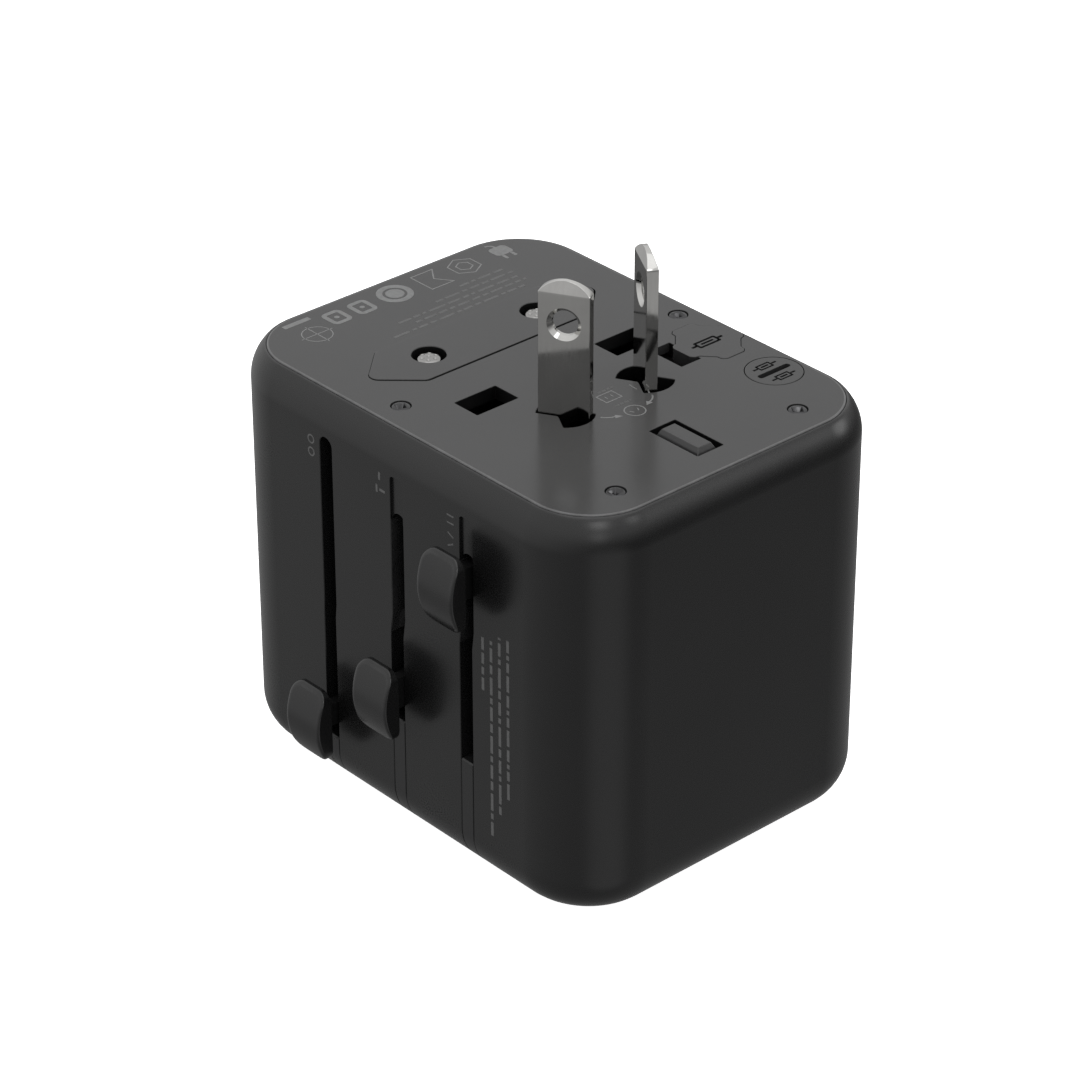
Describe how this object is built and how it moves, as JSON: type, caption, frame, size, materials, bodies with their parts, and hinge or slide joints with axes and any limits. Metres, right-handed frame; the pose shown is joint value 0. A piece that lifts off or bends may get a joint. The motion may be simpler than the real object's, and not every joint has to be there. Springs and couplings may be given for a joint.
{
  "type": "universal travel adapter",
  "caption": "Rounded black travel adapter block with sliding UK, US/AU and EU plugs on its top face, a universal socket in its base and USB ports in one end.",
  "frame": {"origin": "centre of the flat base face, which is the socket face, ignoring the slider knobs", "axes": "+Z is the way the plug pins come out, -Y is the slider face, +X is towards the UK earth pin"},
  "size_m": [0.066, 0.0551, 0.072],
  "materials": {
    "shell_plastic": "fine satin moulded black polycarbonate",
    "plate_plastic": "satin moulded dark grey polycarbonate",
    "cover_plastic": "satin moulded black polycarbonate",
    "black_steel": "black oxide",
    "frame_plastic": "moulded dark grey plastic",
    "carrier_plastic": "moulded natural nylon",
    "contact_brass": "stamped",
    "shutter_plastic": "moulded acetal",
    "spring_steel": "drawn wire",
    "slider_plastic": "moulded black nylon",
    "pin_nickel": "satin nickel plate",
    "sleeve_plastic": "moulded black",
    "earth_pin_plastic": "moulded dark grey nylon",
    "knob_plastic": "satin moulded black",
    "fuse_cap_plastic": "satin moulded dark grey",
    "fuse_ceramic": "glazed ceramic, stood in for by gloss plastic",
    "fuse_metal": "nickel-plated",
    "circuit_board": "solder mask",
    "port_steel": "stamped steel",
    "port_plastic": "moulded",
    "ferrite": "sintered ferrite, stood in for by plastic",
    "winding_tape": "polyester tape over copper",
    "capacitor_sleeve": "shrink sleeve",
    "wire_insulation": "insulated wire"
  },
  "bodies": {
    "housing": {"main_housing": "shell_plastic", "top_plate": "plate_plastic", "socket_cover": "cover_plastic", "plate_screws": "black_steel", "inner_chassis": "frame_plastic", "contact_carrier": "carrier_plastic", "socket_contact_live": "contact_brass", "socket_contact_neutral": "contact_brass", "live_busbar": "contact_brass", "neutral_busbar": "contact_brass", "us_contacts": "contact_brass", "fuse_chambers": "frame_plastic", "fuse_clips": "contact_brass", "spare_fuse_body": "fuse_ceramic", "spare_fuse_end_caps": "fuse_metal", "usb_board": "circuit_board", "usb_ports": "port_steel", "usb_tongues": "port_plastic", "usb_transformer_core": "ferrite", "usb_transformer_winding": "winding_tape", "usb_capacitors": "capacitor_sleeve", "usb_wires": "wire_insulation"},
    "shutter": {"shutter_plate": "shutter_plastic", "shutter_spring": "spring_steel"},
    "uk_plug": {"uk_carriage": "slider_plastic", "uk_line_pins": "pin_nickel", "uk_pin_sleeves": "sleeve_plastic", "uk_earth_pin": "earth_pin_plastic", "uk_wipers": "contact_brass", "uk_knob": "knob_plastic"},
    "us_plug": {"us_carriage": "slider_plastic", "us_knob": "knob_plastic"},
    "us_front_blade": {"us_blade_front": "pin_nickel"},
    "us_back_blade": {"us_blade_back": "pin_nickel"},
    "eu_base": {"eu_platform": "plate_plastic"},
    "eu_plug": {"eu_carriage": "slider_plastic", "eu_pins": "pin_nickel", "eu_pin_sleeves": "sleeve_plastic", "eu_wipers": "contact_brass", "eu_knob": "knob_plastic"},
    "fuse_drawer": {"fuse_holder": "fuse_cap_plastic", "fuse_body": "fuse_ceramic", "fuse_end_caps": "fuse_metal"},
    "spare_cap": {"spare_fuse_cap": "fuse_cap_plastic"}
  },
  "joints": [
    {"name": "uk_slide", "type": "slide", "parent": "housing", "child": "uk_plug", "axis": [0, 0, 1], "range_m": [0, 0.0206]},
    {"name": "us_slide", "type": "slide", "parent": "housing", "child": "us_plug", "axis": [0, 0, 1], "range_m": [-0.0206, 0]},
    {"name": "us_front_blade_turn", "type": "hinge", "parent": "us_plug", "child": "us_front_blade", "pos_m": [0.00927, -0.00635, 0.041], "axis": [0, 0, 1], "range_deg": [-30, 0]},
    {"name": "us_back_blade_turn", "type": "hinge", "parent": "us_plug", "child": "us_back_blade", "pos_m": [0.00927, 0.00635, 0.041], "axis": [0, 0, 1], "range_deg": [0, 30]},
    {"name": "eu_platform_slide", "type": "slide", "parent": "housing", "child": "eu_base", "axis": [0, 0, 1], "range_m": [0, 0.0167]},
    {"name": "eu_pin_slide", "type": "slide", "parent": "eu_base", "child": "eu_plug", "axis": [0, 0, 1], "range_m": [0, 0.019]},
    {"name": "fuse_drawer_pull", "type": "slide", "parent": "housing", "child": "fuse_drawer", "axis": [0, 0, 1], "range_m": [0, 0.025]},
    {"name": "spare_cap_turn", "type": "hinge", "parent": "housing", "child": "spare_cap", "pos_m": [0.01806, 0.01905, 0.0538], "axis": [0, 0, 1], "range_deg": [0, 90]},
    {"name": "shutter_slide", "type": "slide", "parent": "housing", "child": "shutter", "axis": [1, 0, 0], "range_m": [0, 0.0072], "stiffness_N_per_m": 60, "springref_m": -0.001}
  ]
}
